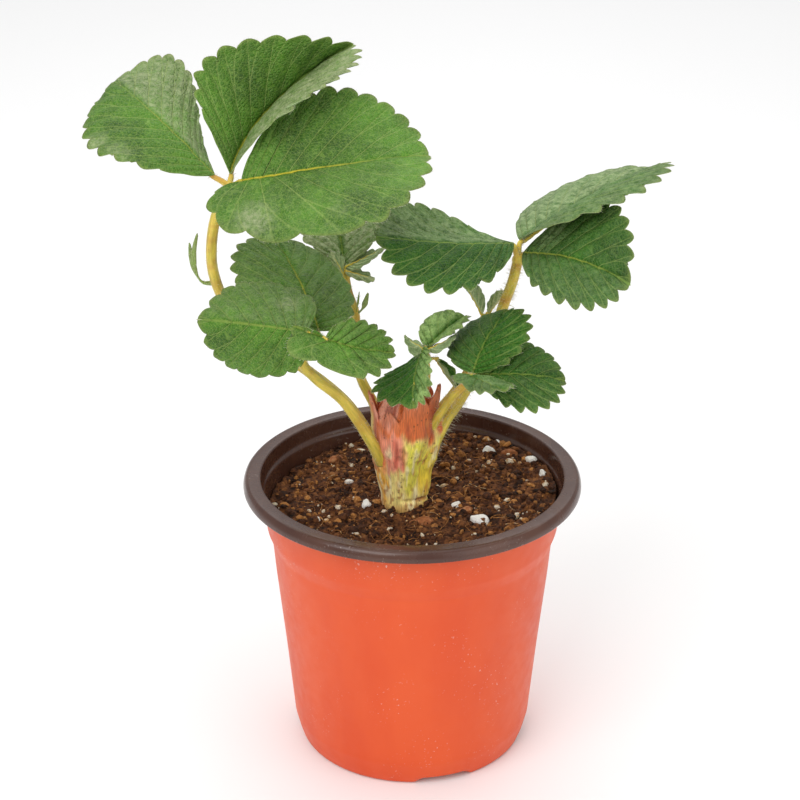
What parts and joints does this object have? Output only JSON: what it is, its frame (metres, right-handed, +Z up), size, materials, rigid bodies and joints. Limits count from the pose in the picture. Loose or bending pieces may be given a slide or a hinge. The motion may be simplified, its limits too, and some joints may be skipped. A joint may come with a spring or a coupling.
{
  "type": "potted strawberry plant",
  "caption": "Young strawberry plant with toothed three-part leaves on hairy stalks, growing from a sheathed crown in a two-tone plastic nursery pot of soil.",
  "frame": {"origin": "centre of the bounding box, on the plane that the pot stands on", "axes": "+Z up the pot's axis, -Y towards the plant's front, +X to the right seen from the front"},
  "size_m": [0.2002, 0.12, 0.2551],
  "materials": {
    "pot": "moulded polypropylene, orange outside with a dark brown lip and inner wall, softly shiny",
    "soil": "moist crumbly peat potting mix, matt",
    "perlite": "white expanded perlite, matt and pitted",
    "bark": "tan to orange-brown composted bark, matt",
    "crown": "woody crown sheathed in papery red-brown scales over a yellow-green base",
    "stalk": "fresh golden yellow-green leaf stalk with fine pale hairs, soft sheen",
    "leaf": "fresh mid green quilted leaf, paler and greyer underneath, soft sheen"
  },
  "bodies": {
    "root": {"pot": "pot", "soil": "soil", "perlite_granule_1": "perlite", "perlite_granule_2": "perlite", "perlite_granule_3": "perlite", "perlite_granule_4": "perlite", "perlite_granule_5": "perlite", "perlite_granule_6": "perlite", "perlite_granule_7": "perlite", "perlite_granule_8": "perlite", "perlite_granule_9": "perlite", "perlite_granule_10": "perlite", "bark_chip_1": "bark", "bark_chip_2": "bark", "bark_chip_3": "bark", "bark_chip_4": "bark", "crown": "crown", "leaf_a_stalk": "stalk", "leaf_a_leaflets": "leaf", "leaf_b_stalk": "stalk", "leaf_b_leaflets": "leaf", "leaf_c_stalk": "stalk", "leaf_c_leaflets": "leaf", "leaf_d_stalk": "stalk", "leaf_d_leaflets": "leaf", "leaf_e_stalk": "stalk", "leaf_e_leaflets": "leaf", "leaf_f_stalk": "stalk", "leaf_f_leaflets": "leaf", "leaf_g_stalk": "stalk", "leaf_g_leaflets": "leaf"}
  },
  "joints": []
}
